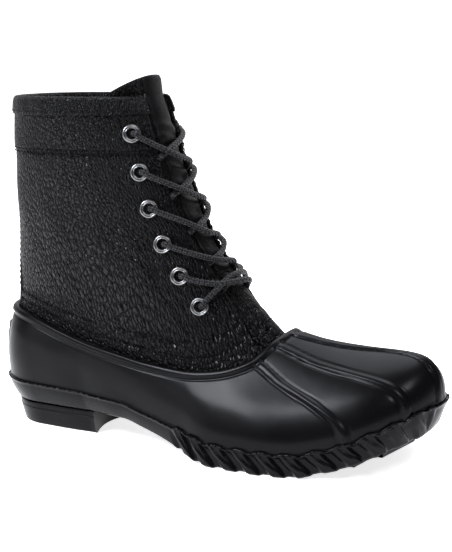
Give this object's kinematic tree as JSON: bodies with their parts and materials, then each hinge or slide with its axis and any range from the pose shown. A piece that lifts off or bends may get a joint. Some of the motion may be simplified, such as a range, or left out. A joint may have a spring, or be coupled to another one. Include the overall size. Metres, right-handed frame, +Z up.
{
  "type": "duck boot",
  "caption": "Ankle-high laced boot with a moulded rubber shell, lugged outsole and pebbled leather shaft with tongue and metal eyelets.",
  "frame": {"origin": "middle of the footprint's bounding box, on the floor", "axes": "+X towards the toe, +Y to the inner side of the foot, +Z up"},
  "size_m": [0.3018, 0.1098, 0.2322],
  "materials": {
    "backstay": "semi-gloss, pebbled",
    "collar_binding": "semi-gloss, pebbled",
    "eyelet_lateral_1": "polished nickel",
    "eyelet_lateral_2": "polished nickel",
    "eyelet_lateral_3": "polished nickel",
    "eyelet_lateral_4": "polished nickel",
    "eyelet_lateral_5": "polished nickel",
    "eyelet_lateral_6": "polished nickel",
    "eyelet_medial_1": "polished nickel",
    "eyelet_medial_2": "polished nickel",
    "eyelet_medial_3": "polished nickel",
    "eyelet_medial_4": "polished nickel",
    "eyelet_medial_5": "polished nickel",
    "eyelet_medial_6": "polished nickel",
    "heel": "satin",
    "insole": "matt",
    "lace_bar": "matt",
    "lace_cross_1": "matt",
    "lace_cross_2": "matt",
    "lace_cross_3": "matt",
    "lace_cross_4": "matt",
    "lace_cross_5": "matt",
    "outsole": "satin",
    "rubber_shell": "semi-gloss",
    "shaft": "semi-gloss, pebbled",
    "tongue": "semi-gloss, pebbled"
  },
  "bodies": {
    "root": {"backstay": "backstay", "collar_binding": "collar_binding", "eyelet_lateral_1": "eyelet_lateral_1", "eyelet_lateral_2": "eyelet_lateral_2", "eyelet_lateral_3": "eyelet_lateral_3", "eyelet_lateral_4": "eyelet_lateral_4", "eyelet_lateral_5": "eyelet_lateral_5", "eyelet_lateral_6": "eyelet_lateral_6", "eyelet_medial_1": "eyelet_medial_1", "eyelet_medial_2": "eyelet_medial_2", "eyelet_medial_3": "eyelet_medial_3", "eyelet_medial_4": "eyelet_medial_4", "eyelet_medial_5": "eyelet_medial_5", "eyelet_medial_6": "eyelet_medial_6", "heel": "heel", "insole": "insole", "lace_bar": "lace_bar", "lace_cross_1": "lace_cross_1", "lace_cross_2": "lace_cross_2", "lace_cross_3": "lace_cross_3", "lace_cross_4": "lace_cross_4", "lace_cross_5": "lace_cross_5", "outsole": "outsole", "rubber_shell": "rubber_shell", "shaft": "shaft", "tongue": "tongue"}
  },
  "joints": []
}
